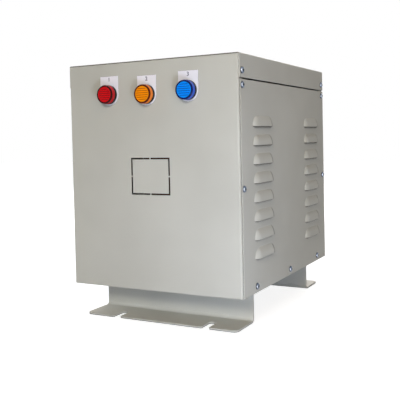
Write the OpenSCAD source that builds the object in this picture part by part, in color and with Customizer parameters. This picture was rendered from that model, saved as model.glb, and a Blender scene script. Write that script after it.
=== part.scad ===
// Dry isolation transformer in a louvred sheet-steel enclosure on two bent feet.
// +X is to the right seen from the front, +Y goes to the back and +Z is up.
// The origin lies on the floor, under the middle of the whole object.

/* [Enclosure] */
// Width over the two side panels
box_w = 300; // [270:5:360]
// Depth from the front face to the rear face
box_d = 380; // [360:5:440]
// Height from the underside of the base to the top of the cover
box_h = 350; // [335:5:420]
// Thickness of the enclosure sheet
sheet_t = 1.5; // [1:0.1:2]
// Inside radius of the enclosure bends
bend_r = 1; // [0.6:0.1:2]
// Width of the front panel's side returns
front_return_w = 15; // [15:1:20]
// Width of the rear panel's side returns
rear_return_w = 20; // [15:1:25]
// Width of the top returns that carry the cover
top_return_w = 15; // [10:1:20]
// Height of the relief notch under each top return's ends
corner_relief = 1; // [0.5:0.1:2]

/* [Cover and side panels] */
// Height of the cover's side skirts
cover_skirt_h = 35; // [30:1:45]
// Open gap between a skirt and the side panel below it
cover_gap = 2.5; // [1:0.5:5]
// How far the cover stops behind the front face
cover_setback = 2.5; // [2:0.5:4]
// How far the side panels stop behind the front face
side_setback = 4.5; // [2.5:0.5:5]
// How far the cover and the side panels stop before the rear face
rear_setback = 0.5; // [0.5:0.5:4]

/* [Louvres] */
// Louvres in each column
louvre_count = 8; // [4:1:9]
// Length of a louvre
louvre_len = 75; // [50:1:100]
// Height of a louvre
louvre_h = 15; // [10:1:20]
// How far the lip stands out from the panel
louvre_proud = 5; // [4:0.5:8]
// Height of the lowest lip above the panel's lower edge
louvre_first_z = 50; // [30:1:60]
// Distance of the highest louvre below the panel's upper edge
louvre_last_down = 51.5; // [30:0.5:70]
// Distance from the front face to the front column
louvre_front_y = 45.5; // [30:0.5:50]
// Distance from the rear face to the rear column
louvre_rear_y = 36.5; // [25:0.5:50]

/* [Panel screws] */
// Distance of the edge screws from the front and rear faces
screw_inset = 10; // [9:0.5:10]
// Height of the cover screws above the skirt's lower edge
cover_screw_up = 10; // [8:1:20]
// Distance of the upper panel screws below the side panel's upper edge
panel_screw_down = 8; // [7:1:12]
// Height of the base screws above the side panel's lower edge
base_screw_up = 9.5; // [9:0.5:13]
// Distance of the outer base screws from the front and rear faces
base_screw_inset = 50; // [40:5:100]
// Thread diameter of the panel screws
screw_d = 5; // [4:0.5:6]
// Diameter of the screws' pan heads
screw_head_d = 9.6; // [8:0.2:12]
// Height of the pan heads
screw_head_h = 3; // [2:0.2:4]
// Length of the screws under the head
screw_len = 9; // [8:1:16]
// Width across the flats of the weld nuts
panel_nut_af = 8; // [8:0.5:10]
// Thickness of the weld nuts
panel_nut_h = 4; // [3:0.5:5]

/* [Base] */
// Thickness of the base plate
base_t = 2; // [1.5:0.5:3]
// Height of the base plate's upturned edges
base_flange_h = 20; // [18:1:30]

/* [Feet] */
// Height of the feet, from the floor to the underside of the base
foot_h = 52; // [40:1:80]
// Length of a foot
foot_len = 268; // [240:2:290]
// Thickness of the foot sheet
foot_t = 3; // [2:0.5:4]
// Inside radius of the foot's bends
foot_bend_r = 5; // [2:0.5:6]
// Depth of the flange that stands on the floor
foot_flange_w = 60; // [50:1:64]
// Depth of the flange under the base
foot_top_flange_w = 40; // [34:1:50]
// Distance from the front face to the front foot's web
front_foot_setback = 70; // [66:1:74]
// Distance from the rear face to the rear foot's web
rear_foot_setback = 64; // [64:1:74]
// Radius of the flange's free corners
foot_corner_r = 8; // [4:1:12]
// Width of the open fixing slots
slot_w = 12; // [8:1:14]
// Depth of the slots from the flange's edge
slot_depth = 30; // [20:1:40]
// Distance between the two slots of a foot
slot_pitch = 158; // [120:1:220]
// How far the slots sit to the right of the foot's middle, as punched
slot_shift = 3; // [0:0.5:5]
// Rounding of the slots' mouths
slot_mouth_r = 2.5; // [1:0.5:4]
// Thread diameter of the foot bolts
foot_bolt_d = 8; // [6:1:10]
// Distance from the web's back to the row of foot bolts
foot_bolt_in = 20; // [16:1:22]

/* [Knock-out] */
// Width of the knock-out window
knockout_w = 68; // [40:1:100]
// Height of the knock-out window
knockout_h = 56; // [30:1:80]
// Height of the window's middle above the box's underside
knockout_z = 174; // [120:1:200]
// Width of the cut line
knockout_cut = 2; // [1:0.1:3]
// Width of the four tabs that hold the window's plate
knockout_tab = 2.5; // [1:0.1:5]

/* [Signal lamps] */
// Distance from one lamp to the next
lamp_pitch = 70; // [50:1:80]
// Distance of the lamps below the cover's top
lamp_down = 49.5; // [45:0.5:70]
// How far the row of lamps sits to the left of the middle, as drilled
lamp_row_shift = 1; // [0:0.5:5]
// How much lower the middle lamp sits, as drilled
middle_lamp_drop = 2.5; // [0:0.5:5]
// How far the middle lamp sits to the left, as drilled
middle_lamp_shift = 1.5; // [0:0.5:5]
// Diameter of a lamp's barrel
lamp_barrel_d = 22; // [16:1:22]
// Length of the barrel behind the front face
lamp_barrel_len = 40; // [30:1:45]
// Diameter of the black bezel ring
lamp_bezel_d = 29.5; // [27:0.5:34]
// Thickness of the bezel ring
lamp_bezel_t = 4.8; // [2:0.2:6]
// Diameter of the coloured lens
lamp_lens_d = 29; // [26:0.5:33]
// Height of the lens
lamp_lens_h = 8.4; // [7:0.2:15]
// Wall of the lens
lamp_lens_wall = 1.6; // [1:0.1:2.5]
// Width of a legend plate
legend_w = 33; // [31:1:44]
// Distance from the lamp's axis to the legend plate's upper edge
legend_up = 28.5; // [22:0.5:40]
// Thickness of a legend plate
legend_t = 1; // [0.5:0.1:2]
// Thickness of the rubber gasket under a bezel
lamp_gasket_t = 0.8; // [0.5:0.1:2]

/* [Cable entries] */
// Bore of a cable grommet
grommet_bore_d = 16; // [10:1:20]
// Diameter of the panel hole that a grommet sits in
grommet_hole_d = 25; // [24:1:30]
// Diameter of a grommet's flanges
grommet_flange_d = 32; // [31:1:38]
// Thickness of each grommet flange
grommet_flange_t = 3; // [2:0.5:5]
// Distance between the two grommets
grommet_pitch = 120; // [60:5:160]
// Height of the grommets above the box's underside
grommet_z = 60; // [45:5:100]

/* [Core] */
// Width of a core leg
leg_w = 50; // [40:1:54]
// Width of a core window
window_w = 50; // [50:1:56]
// Height of the yokes
yoke_h = 50; // [40:1:52]
// Thickness of the lamination stack
stack_t = 60; // [40:1:70]
// Free height under the lower yoke
core_standoff = 10; // [6:1:12]
// Free height over the upper yoke, for the terminals and the lamps
head_room = 88; // [84:1:110]
// Thickness of the clamp angles
clamp_t = 4; // [3:0.5:5]
// Width of the lower clamps' feet
lower_clamp_w = 50; // [48:1:60]
// Width of the upper clamps' shelves
upper_clamp_w = 62; // [60:1:66]
// Thread diameter of the clamp bolts
clamp_bolt_d = 8; // [6:1:10]

/* [Coils] */
// Wall of the coil formers
former_t = 2.5; // [1.5:0.5:3]
// Space between a core leg and its former
former_gap = 0.7; // [0.4:0.1:0.9]
// Depth of the secondary winding, next to the former
secondary_t = 7; // [5:0.5:8]
// Depth of the insulation and screen between the windings
wrap_t = 1.5; // [1:0.5:2]
// Depth of the primary winding, on the outside
primary_t = 8; // [6:0.5:8]
// How far the formers' cheeks reach past the primary winding
cheek_reach = 2; // [1:0.5:2]
// Thickness of the cheeks
cheek_t = 2.5; // [2:0.5:4]

/* [Terminals] */
// Poles of a terminal block
block_poles = 4; // [3:1:4]
// Distance from one pole to the next
block_pitch = 24; // [18:1:28]
// Width of a terminal block
block_w = 30; // [26:1:32]
// Height of a block's body
block_h = 12; // [10:1:16]
// Height of the barriers between the poles
barrier_h = 22; // [18:1:24]
// Thickness of the barriers
barrier_t = 2; // [1.5:0.5:3]
// Diameter of the winding leads
lead_d = 5; // [3:0.5:6]
// Diameter of the lamp leads
lamp_lead_d = 3; // [2:0.5:4]

/* [Hidden] */
$fn = 48;

// Paint, plastics and metals
paint = [0.76, 0.75, 0.71];
zinc = [0.80, 0.82, 0.85];
steel = [0.42, 0.43, 0.45];
copper = [0.72, 0.40, 0.22];
black = [0.09, 0.09, 0.10];
white = [0.93, 0.93, 0.94];
pressboard = [0.80, 0.69, 0.50];
phenolic = [0.16, 0.13, 0.11];
lens_colours = [[0.80, 0.06, 0.09], [0.96, 0.62, 0.10], [0.10, 0.50, 0.95]];
lead_colours = [[0.55, 0.12, 0.10], [0.75, 0.72, 0.66], [0.12, 0.20, 0.45]];

// Every cut runs this far past the faces that it opens
overrun = 1;
// Clearance of a piece that passes through or slips into another
slip = 0.15;
// Straight steps in one square bend
bend_steps = 5;

// Where the front face lies, so that the whole object is centred front to back
lamp_proud = legend_t + lamp_gasket_t + lamp_bezel_t + lamp_lens_h;
grommet_proud = grommet_flange_t;
front_y = (lamp_proud - box_d - grommet_proud) / 2;
corner_r = sheet_t + bend_r;
panel_half_w = box_w / 2 - sheet_t;
panel_h = box_h - sheet_t;
side_panel_h = box_h - cover_skirt_h - cover_gap;

// Screw places as [distance from the front face, height above the box's underside]
edge_ys = [screw_inset, box_d - screw_inset];
cover_screw_z = box_h - cover_skirt_h + cover_screw_up;
edge_screw_zs = [side_panel_h - panel_screw_down, side_panel_h / 2];
cover_screw_spots = [for (y = edge_ys) [y, cover_screw_z]];
edge_screw_spots = [for (y = edge_ys, z = edge_screw_zs) [y, z]];
base_screw_spots = [for (y = [base_screw_inset, box_d / 2, box_d - base_screw_inset]) [y, base_screw_up]];
screw_hole_d = screw_d + 2 * slip;

// Core and coils, along Y and centred in the box
core_len = 3 * leg_w + 2 * window_w;
window_h = box_h - base_t - core_standoff - 2 * yoke_h - head_room;
core_y = box_d / 2;
coil_pitch = leg_w + window_w;
core_z = base_t + core_standoff;
window_z = core_z + yoke_h;
core_top_z = window_z + window_h + yoke_h;
clamp_bolt_out = coil_pitch - leg_w / 4;
winding_z = window_z + cheek_t;
winding_h = window_h - former_gap - 2 * cheek_t;
former_out = former_gap + former_t;
wrap_out = former_out + secondary_t;
primary_out = wrap_out + wrap_t;
coil_out = primary_out + primary_t;
coil_corner_r = 3 * former_t;
secondary_lead_x = stack_t / 2 + former_out + secondary_t - lead_d / 2;
primary_lead_x = stack_t / 2 + coil_out - lead_d / 2 - former_gap;
lead_hole_d = 2 * lead_d;

// Foot bolts stand in the middle of the lower clamps' feet
foot_bolt_x = (stack_t + lower_clamp_w + clamp_t) / 2;
front_bolt_y = front_foot_setback + foot_t + foot_bolt_in;
rear_bolt_y = box_d - rear_foot_setback - foot_t - foot_bolt_in;

// Terminal blocks stand on the outer edge of the upper clamps
block_len = block_poles * block_pitch + barrier_t;
block_edge = barrier_t;
block_x = stack_t / 2 + upper_clamp_w - block_edge - block_w;
pole_ys = [for (i = [0:block_poles - 1]) core_y + (i - (block_poles - 1) / 2) * block_pitch];

function left_of(v) = [-v[1], v[0]];
function unit(v) = v / norm(v);
function turned(v, a) = [v[0] * cos(a) - v[1] * sin(a), v[0] * sin(a) + v[1] * cos(a)];
function backwards(list) = [for (i = [len(list) - 1:-1:0]) list[i]];

// One face of a folded sheet. The path follows the face with no offset, the sheet lies to its
// left, all bends are square, and r is the radius inside each bend.
function fold_face(path, t, r, off) =
    let (last = len(path) - 1, way = [for (i = [0:last - 1]) unit(path[i + 1] - path[i])])
    concat([path[0] + off * left_of(way[0])],
        [for (i = [1:last - 1])
            let (s = sign(cross(way[i - 1], way[i])), path_r = s > 0 ? r + t : r,
                out = -s * left_of(way[i - 1]), centre = path[i] - path_r * (way[i - 1] + out))
            for (k = [0:bend_steps])
                centre + (path_r - s * off) * turned(out, s * 90 * k / bend_steps)],
        [path[last] + off * left_of(way[last - 1])]);

module folded(path, t, r) {
    polygon(concat(fold_face(path, t, r, 0), backwards(fold_face(path, t, r, t))));
}

// Outline drawn as (y, z) and drawn out along +X, or as (x, z) and drawn out along +Y
module along_x(length) rotate([90, 0, 90]) linear_extrude(length) children();
module along_y(length) translate([0, length, 0]) rotate([90, 0, 0]) linear_extrude(length) children();

// Carries a piece drawn from the front face's lower middle into the object's frame
module in_box() translate([0, front_y, foot_h]) children();

// The box's mirror planes
module left_and_right() for (side = [0, 1]) mirror([side, 0, 0]) children();
module at_rear() translate([0, box_d, 0]) mirror([0, 1, 0]) children();

// The round corner of an outline that a square tool leaves: cut it away at the origin's corner
module corner_cut(r) {
    difference() {
        translate([-overrun, -overrun]) square(r + overrun);
        translate([r, r]) circle(r);
    }
}

// Things that stand on the right side panel's outer face, with +Z outwards
module on_side(spots) for (s = spots) translate([box_w / 2, s[0], s[1]]) rotate([0, 90, 0]) children();

module screw_holes(spots) {
    left_and_right() on_side(spots)
        translate([0, 0, -corner_r - panel_nut_h])
            cylinder(d = screw_hole_d, h = corner_r + panel_nut_h + overrun);
}

// Folded front or rear sheet: a face, two side returns and a top return. The face's two upper
// corners are welded shut and ground round.
module panel_tray(return_w) {
    low_h = panel_h - corner_r - corner_relief;
    strip_half = panel_half_w - corner_r;
    corner_d = corner_r + corner_relief;
    side_path = [[-panel_half_w, return_w], [-panel_half_w, 0], [panel_half_w, 0], [panel_half_w, return_w]];
    linear_extrude(low_h) folded(side_path, sheet_t, bend_r);
    translate([-strip_half, 0, 0]) along_x(2 * strip_half)
        folded([[top_return_w, panel_h], [0, panel_h], [0, low_h]], sheet_t, bend_r);
    intersection() {
        linear_extrude(panel_h) folded(side_path, sheet_t, bend_r);
        left_and_right() translate([strip_half, 0, 0]) along_x(corner_r + overrun)
            polygon(concat(fold_face([[corner_d, panel_h], [0, panel_h], [0, low_h]], sheet_t, bend_r, 0),
                [[corner_d, low_h]]));
    }
}

// Cut lines of the knock-out: a frame broken by four tabs
module knockout_lines() {
    difference() {
        square([knockout_w, knockout_h], center = true);
        square([knockout_w - 2 * knockout_cut, knockout_h - 2 * knockout_cut], center = true);
        square([knockout_tab, knockout_h + overrun], center = true);
        square([knockout_w + overrun, knockout_tab], center = true);
    }
}

// Middle of a lamp, as [distance from the middle, height above the box's underside]
function lamp_at(i) = [(i - 1) * lamp_pitch - lamp_row_shift - (i == 1 ? middle_lamp_shift : 0),
    box_h - lamp_down - (i == 1 ? middle_lamp_drop : 0)];

// A lamp's parts are drawn on the front face, with +Z towards the viewer
module at_lamp(i) in_box() translate([lamp_at(i)[0], 0, lamp_at(i)[1]]) rotate([90, 0, 0]) children();

module front_panel() {
    color(paint) in_box() difference() {
        panel_tray(front_return_w);
        screw_holes(concat([cover_screw_spots[0]], [for (z = edge_screw_zs) [screw_inset, z]]));
        for (i = [0:2]) translate([lamp_at(i)[0], -overrun, lamp_at(i)[1]])
            rotate([-90, 0, 0]) cylinder(d = lamp_barrel_d + 2 * slip, h = sheet_t + 2 * overrun);
        translate([0, -overrun, knockout_z]) along_y(sheet_t + 2 * overrun) knockout_lines();
    }
}

module rear_panel() {
    color(paint) in_box() difference() {
        at_rear() panel_tray(rear_return_w);
        screw_holes(concat([cover_screw_spots[1]], [for (z = edge_screw_zs) [box_d - screw_inset, z]]));
        left_and_right() translate([grommet_pitch / 2, box_d - sheet_t - overrun, grommet_z])
            rotate([-90, 0, 0]) cylinder(d = grommet_hole_d, h = sheet_t + 2 * overrun);
    }
}

// A pressed louvre rises from the sheet in one arc, ends in a quarter of a dome at each side, and is
// cut off flat at its lip. Its lip lies on the X axis, and the sheet's inner face is at z = 0. The
// radius of the arc and the domes comes from the louvre's height and from how far it stands out.
louvre_r = (louvre_h * louvre_h + louvre_proud * louvre_proud) / (2 * louvre_proud);
// The slot under the lip is cut this much below the lip
louvre_shear = sheet_t / 5;
louvre_column_pitch = box_d - louvre_front_y - louvre_rear_y - louvre_len;
louvre_pitch = (side_panel_h - louvre_first_z - louvre_last_down - louvre_h) / (louvre_count - 1);

module louvre_form(off, back) {
    margin = 2 * sheet_t;
    intersection() {
        translate([-margin, 0, back])
            cube([louvre_len + 2 * margin, louvre_h + margin, 2 * louvre_proud]);
        translate([louvre_h, 0, louvre_proud - louvre_r]) {
            rotate([0, 90, 0]) cylinder(r = louvre_r + off, h = louvre_len - 2 * louvre_h);
            for (x = [0, louvre_len - 2 * louvre_h])
                translate([x, 0, 0]) rotate([0, 90, 0]) sphere(louvre_r + off);
        }
    }
}

module at_louvres() {
    for (column = [0, 1], row = [0:louvre_count - 1])
        translate([louvre_front_y - side_setback + column * louvre_column_pitch,
            louvre_first_z + row * louvre_pitch, 0]) children();
}

// Flat side sheet, drawn lying down and then stood up on the right side of the box
module louvred_panel() {
    translate([box_w / 2 - sheet_t, side_setback, 0]) rotate([90, 0, 90]) difference() {
        union() {
            linear_extrude(sheet_t) difference() {
                square([box_d - side_setback - rear_setback, side_panel_h]);
                for (s = concat(edge_screw_spots, base_screw_spots))
                    translate([s[0] - side_setback, s[1]]) circle(d = screw_hole_d);
            }
            at_louvres() louvre_form(sheet_t, sheet_t / 2);
        }
        at_louvres() translate([0, -louvre_shear, 0]) louvre_form(0, -overrun);
    }
}

module right_side_panel() color(paint) in_box() louvred_panel();
module left_side_panel() color(paint) in_box() mirror([1, 0, 0]) louvred_panel();

module top_cover() {
    half = box_w / 2;
    skirt_z = box_h - cover_skirt_h;
    color(paint) in_box() difference() {
        translate([0, cover_setback, 0]) along_y(box_d - cover_setback - rear_setback)
            folded([[half, skirt_z], [half, box_h], [-half, box_h], [-half, skirt_z]], sheet_t, bend_r);
        left_and_right() on_side(cover_screw_spots)
            translate([0, 0, -sheet_t - overrun]) cylinder(d = screw_hole_d, h = sheet_t + 2 * overrun);
    }
}

// Front or rear upturned edge of the base, which stands against the panel's inner face
module base_end_edge(side_y) {
    half = panel_half_w - corner_r - corner_relief;
    translate([-half, 0, 0]) along_x(2 * half)
        folded([[sheet_t, base_flange_h], [sheet_t, 0], [side_y, 0]], base_t, bend_r);
}

module base_plate() {
    front_side_y = front_return_w + corner_relief;
    rear_side_y = rear_return_w + corner_relief;
    color(paint) in_box() difference() {
        union() {
            translate([0, front_side_y, 0]) along_y(box_d - front_side_y - rear_side_y)
                folded([[-panel_half_w, base_flange_h], [-panel_half_w, 0], [panel_half_w, 0],
                    [panel_half_w, base_flange_h]], base_t, bend_r);
            base_end_edge(front_side_y);
            at_rear() base_end_edge(rear_side_y);
        }
        screw_holes(base_screw_spots);
        at_foot_bolts() translate([0, 0, -overrun])
            cylinder(d = foot_bolt_d + 2 * slip, h = base_t + 2 * overrun);
        at_earth_stud() translate([0, 0, -overrun])
            cylinder(d = earth_stud_d + 2 * slip, h = base_t + 2 * overrun);
    }
}

// A foot is drawn with its floor flange's free edge on the X axis, and its web rises at the back
module slot_outline() {
    translate([0, slot_depth - slot_w / 2]) circle(d = slot_w);
    translate([-slot_w / 2, -overrun]) square([slot_w, slot_depth - slot_w / 2 + overrun]);
    for (side = [0, 1]) mirror([side, 0]) translate([slot_w / 2, 0]) corner_cut(slot_mouth_r);
}

module foot_flange_outline() {
    difference() {
        translate([-foot_len / 2, 0]) square([foot_len, foot_flange_w - foot_bend_r]);
        for (side = [-1, 1]) translate([slot_shift + side * slot_pitch / 2, 0]) slot_outline();
        for (side = [0, 1]) mirror([side, 0]) translate([-foot_len / 2, 0]) corner_cut(foot_corner_r);
    }
}

module foot() {
    web_back = foot_flange_w + foot_t;
    difference() {
        union() {
            linear_extrude(foot_t) foot_flange_outline();
            translate([-foot_len / 2, 0, 0]) along_x(foot_len)
                folded([[foot_flange_w - foot_bend_r, 0], [web_back, 0], [web_back, foot_h - foot_t],
                    [web_back + foot_top_flange_w, foot_h - foot_t]], foot_t, foot_bend_r);
        }
        for (side = [-1, 1])
            translate([side * foot_bolt_x, web_back + foot_bolt_in, foot_h - foot_t - overrun])
                cylinder(d = foot_bolt_d + 2 * slip, h = foot_t + 2 * overrun);
    }
}

module front_foot() {
    color(paint) translate([0, front_y + front_foot_setback - foot_flange_w, 0]) foot();
}

module rear_foot() {
    color(paint) translate([0, front_y + box_d - rear_foot_setback + foot_flange_w, 0])
        rotate([0, 0, 180]) foot();
}

// Pan-head screw with its head's seat at the origin and a cross recess
screw_rim_h = screw_head_h / 3;
recess_w = screw_d / 4;
recess_len = screw_d;
recess_depth = screw_head_h / 2;
dome_steps = 5;

module pan_screw() {
    shank_r = screw_d / 2 - slip;
    difference() {
        rotate_extrude() polygon(concat(
            [[0, -screw_len], [shank_r, -screw_len], [shank_r, 0], [screw_head_d / 2, 0]],
            [for (k = [0:dome_steps]) let (a = 90 * k / dome_steps)
                [k == dome_steps ? 0 : screw_head_d / 2 * cos(a),
                    screw_rim_h + (screw_head_h - screw_rim_h) * sin(a)]]));
        for (a = [0, 90]) rotate([0, 0, a])
            translate([-recess_len / 2, -recess_w / 2, screw_head_h - recess_depth])
                cube([recess_len, recess_w, recess_depth + overrun]);
    }
}

module cover_screws() color(zinc) in_box() left_and_right() on_side(cover_screw_spots) pan_screw();
module right_panel_screws() {
    color(zinc) in_box() on_side(concat(edge_screw_spots, base_screw_spots)) pan_screw();
}
module left_panel_screws() {
    color(zinc) in_box() mirror([1, 0, 0]) on_side(concat(edge_screw_spots, base_screw_spots)) pan_screw();
}

// Hexagon nut or head, standing on the origin, with the bore of its thread
module hex_nut(across_flats, height, thread_d) {
    difference() {
        cylinder(r = across_flats / sqrt(3), h = height, $fn = 6);
        if (thread_d > 0) translate([0, 0, -overrun]) cylinder(d = thread_d, h = height + 2 * overrun);
    }
}

// Weld nuts hang behind the sheet that each screw is driven into
module panel_nuts() {
    color(zinc) in_box() left_and_right() {
        on_side(concat(cover_screw_spots, edge_screw_spots))
            translate([0, 0, -2 * sheet_t - panel_nut_h]) hex_nut(panel_nut_af, panel_nut_h, screw_d);
        on_side(base_screw_spots)
            translate([0, 0, -sheet_t - base_t - panel_nut_h]) hex_nut(panel_nut_af, panel_nut_h, screw_d);
    }
}

// Bolts that hold foot, base and lower clamp together. Their heads are under the foot's upper
// flange, and each piece of a bolt is drawn from the base's underside.
foot_bolt_head_h = foot_bolt_d * 2 / 3;
foot_nut_h = foot_bolt_d * 4 / 5;
foot_nut_af = foot_bolt_d * 13 / 8;
foot_washer_t = foot_bolt_d / 5;
foot_washer_d = 2 * foot_bolt_d;
foot_bolt_grip = base_t + clamp_t;

module at_foot_bolts() {
    for (x = [-foot_bolt_x, foot_bolt_x], y = [front_bolt_y, rear_bolt_y]) translate([x, y, 0]) children();
}

module foot_bolts() {
    reach = foot_bolt_grip + foot_washer_t + foot_nut_h + foot_bolt_d / 4;
    color(zinc) in_box() at_foot_bolts() translate([0, 0, -foot_t]) {
        translate([0, 0, -foot_bolt_head_h]) hex_nut(foot_nut_af, foot_bolt_head_h, 0);
        cylinder(d = foot_bolt_d - 2 * slip, h = foot_t + reach);
    }
}

module foot_washers() {
    color(zinc) in_box() at_foot_bolts() translate([0, 0, foot_bolt_grip]) difference() {
        cylinder(d = foot_washer_d, h = foot_washer_t);
        translate([0, 0, -overrun]) cylinder(d = foot_bolt_d + 2 * slip, h = foot_washer_t + 2 * overrun);
    }
}

module foot_nuts() {
    color(zinc) in_box() at_foot_bolts() translate([0, 0, foot_bolt_grip + foot_washer_t])
        hex_nut(foot_nut_af, foot_nut_h, foot_bolt_d);
}

// Legend plate: a round lower edge about the lamp's axis and a straight upper part
legend_steps = 24;

module legend_plate(i) {
    r = legend_w / 2;
    color(white) at_lamp(i) linear_extrude(legend_t) difference() {
        polygon(concat([[r, legend_up], [-r, legend_up]],
            [for (k = [0:legend_steps]) let (a = 180 + 180 * k / legend_steps) [r * cos(a), r * sin(a)]]));
        circle(d = lamp_barrel_d + 2 * slip);
    }
}

module lamp_gasket(i) {
    color(black) at_lamp(i) translate([0, 0, legend_t]) linear_extrude(lamp_gasket_t) difference() {
        circle(d = (lamp_bezel_d + lamp_lens_d) / 2 - lamp_lens_wall);
        circle(d = lamp_barrel_d + 2 * slip);
    }
}

// Barrel through the panel, bezel ring and the light holder inside the lens
lamp_holder_d = lamp_barrel_d * 2 / 3;
lamp_terminal_w = lamp_barrel_d / 2;
lamp_terminal_h = lamp_barrel_d / 3;
lamp_terminal_len = lamp_barrel_d / 4;

module lamp_body(i) {
    seat = legend_t + lamp_gasket_t;
    holder_top = seat + lamp_bezel_t + lamp_lens_h - 3 * lamp_lens_wall;
    color(black) at_lamp(i) {
        rotate_extrude() polygon([[0, -lamp_barrel_len], [lamp_barrel_d / 2, -lamp_barrel_len],
            [lamp_barrel_d / 2, seat], [lamp_bezel_d / 2, seat], [lamp_bezel_d / 2, seat + lamp_bezel_t],
            [lamp_holder_d / 2, seat + lamp_bezel_t], [lamp_holder_d / 2, holder_top], [0, holder_top]]);
        translate([-lamp_terminal_w / 2, -lamp_terminal_h / 2, -lamp_barrel_len - lamp_terminal_len])
            cube([lamp_terminal_w, lamp_terminal_h, lamp_terminal_len]);
    }
}

// Coloured cap: a cup with a bevelled rim and a face that lies a little below the rim
lens_bevel = lamp_lens_wall / 2;
lens_face_drop = lamp_lens_wall / 4;

module lamp_lens(i) {
    r = lamp_lens_d / 2;
    rim = r - lamp_lens_wall;
    color(lens_colours[i]) at_lamp(i) translate([0, 0, lamp_proud - lamp_lens_h]) rotate_extrude()
        polygon([[rim, 0], [r, 0], [r, lamp_lens_h - lens_bevel], [r - lens_bevel, lamp_lens_h],
            [rim, lamp_lens_h], [rim - lens_bevel, lamp_lens_h - lens_face_drop],
            [0, lamp_lens_h - lens_face_drop], [0, lamp_lens_h - lamp_lens_wall - lens_face_drop],
            [rim, lamp_lens_h - lamp_lens_wall - lens_face_drop]]);
}

lamp_nut_t = lamp_barrel_d / 4;
lamp_nut_af = lamp_barrel_d * 5 / 4;

module lamp_nut(i) {
    color(black) at_lamp(i) translate([0, 0, -sheet_t - lamp_nut_t])
        hex_nut(lamp_nut_af, lamp_nut_t, lamp_barrel_d + 2 * slip);
}

// Rubber grommet: a groove holds the panel, and the outer flange has a bevelled edge
module grommet(side) {
    bore = grommet_bore_d / 2;
    flange = grommet_flange_d / 2;
    groove = grommet_hole_d / 2 - slip;
    bevel = grommet_flange_t / 3;
    outer = sheet_t + grommet_flange_t;
    color(black) in_box() translate([side * grommet_pitch / 2, box_d - sheet_t, grommet_z])
        rotate([-90, 0, 0]) rotate_extrude() polygon([[bore, -grommet_flange_t],
            [flange - bevel, -grommet_flange_t], [flange, bevel - grommet_flange_t], [flange, 0], [groove, 0],
            [groove, sheet_t], [flange, sheet_t], [flange, outer - bevel], [flange - bevel, outer],
            [bore, outer]]);
}

// Laminated core. Its outline is drawn as (y, z) from the middle of the core's underside.
module clamp_bolt_holes(z) {
    for (side = [-1, 1]) translate([side * clamp_bolt_out, z]) circle(d = clamp_bolt_d + 2 * slip);
}

module core_e_stack() {
    color(steel) in_box() translate([-stack_t / 2, core_y, core_z]) along_x(stack_t) difference() {
        translate([-core_len / 2, 0]) square([core_len, yoke_h + window_h]);
        for (side = [-1, 1]) translate([side * coil_pitch / 2 - window_w / 2, yoke_h])
            square([window_w, window_h + overrun]);
        clamp_bolt_holes(yoke_h / 2);
    }
}

module core_i_stack() {
    color(steel) in_box() translate([-stack_t / 2, core_y, core_top_z - yoke_h]) along_x(stack_t)
        difference() {
            translate([-core_len / 2, 0]) square([core_len, yoke_h]);
            clamp_bolt_holes(yoke_h / 2);
        }
}

// Outline round a core leg at a given distance, with round corners
function leg_outline(out, r) =
    let (x = stack_t / 2 + out - r, y = leg_w / 2 + out - r)
    [for (q = [0:3]) let (s = [[1, 1], [-1, 1], [-1, -1], [1, -1]][q])
        for (k = [0:bend_steps]) let (a = 90 * (q + k / bend_steps))
            [s[0] * x + r * cos(a), s[1] * y + r * sin(a)]];

module at_coil(i) in_box() translate([0, core_y + (i - 1) * coil_pitch, 0]) children();

// A sleeve round a leg between two distances from the leg
module leg_sleeve(inner, outer, inner_r, outer_r) {
    difference() {
        polygon(leg_outline(outer, outer_r));
        polygon(leg_outline(inner, inner_r));
    }
}

module coil_former(i) {
    inner_r = former_gap;
    color(pressboard) at_coil(i) translate([0, 0, window_z]) difference() {
        union() {
            linear_extrude(winding_h + 2 * cheek_t) leg_sleeve(former_gap, former_out, inner_r, former_t);
            for (z = [0, cheek_t + winding_h]) translate([0, 0, z])
                linear_extrude(cheek_t) leg_sleeve(former_gap, coil_out + cheek_reach, inner_r, former_t);
        }
        for (x = [-primary_lead_x, secondary_lead_x])
            translate([x, 0, cheek_t + winding_h - overrun])
                cylinder(d = lead_d + 2 * slip, h = cheek_t + 2 * overrun);
    }
}

module wound_sleeve(i, inner, outer) {
    at_coil(i) translate([0, 0, winding_z]) linear_extrude(winding_h)
        leg_sleeve(inner, outer, inner + former_t - former_out, outer + former_t - former_out);
}

module secondary_winding(i) color(copper) wound_sleeve(i, former_out, wrap_out);
module insulation_wrap(i) color(pressboard) wound_sleeve(i, wrap_out, primary_out);
module primary_winding(i) color(copper) wound_sleeve(i, primary_out, coil_out);

// Clamp angles, drawn for the right side of the core
module at_clamp_bolts(z) {
    for (side = [-1, 1]) translate([0, core_y + side * clamp_bolt_out, z]) children();
}

module lower_clamp() {
    inner = stack_t / 2;
    color(paint) in_box() difference() {
        translate([0, core_y - core_len / 2, 0]) along_y(core_len)
            folded([[inner, window_z], [inner, base_t], [inner + lower_clamp_w, base_t]], clamp_t, clamp_t);
        at_clamp_bolts(core_z + yoke_h / 2) rotate([0, 90, 0])
            cylinder(d = clamp_bolt_d + 2 * slip, h = inner + 2 * clamp_t);
        at_foot_bolts() cylinder(d = foot_bolt_d + 2 * slip, h = foot_bolt_grip + overrun);
    }
}

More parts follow.
